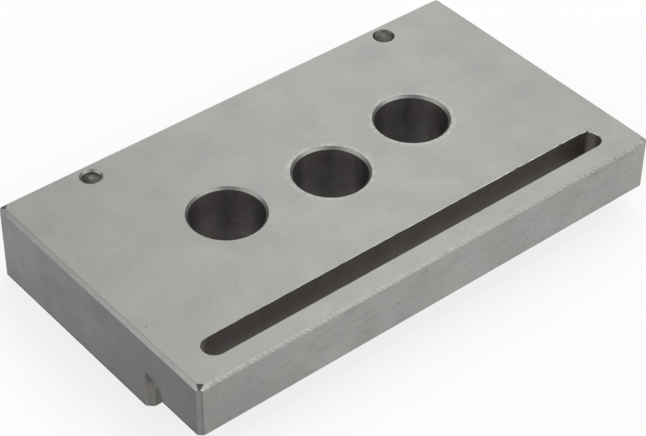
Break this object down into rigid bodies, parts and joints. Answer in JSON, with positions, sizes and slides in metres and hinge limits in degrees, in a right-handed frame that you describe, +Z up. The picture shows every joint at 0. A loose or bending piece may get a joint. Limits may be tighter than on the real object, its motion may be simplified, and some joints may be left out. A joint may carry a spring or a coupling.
{
  "type": "drill bushing plate",
  "caption": "Milled steel drill jig plate with a row of chamfered bores for press-in drill bushings, a long guide slot through its stepped front lip, and domed dowel pins near its rear edge.",
  "frame": {"origin": "where the axis of the middle bore meets the bottom face, which is also the centre of the footprint", "axes": "+X along the plate's length, +Y from the stepped front lip to the rear edge with the dowel pins, +Z up out of the top face along the bores"},
  "size_m": [0.12, 0.068, 0.018],
  "materials": {
    "plate_steel": "ground top face, milled sides and edges",
    "pin_steel": "hardened and ground"
  },
  "bodies": {
    "root": {"bushing_plate": "plate_steel", "left_dowel_pin": "pin_steel", "right_dowel_pin": "pin_steel"}
  },
  "joints": []
}
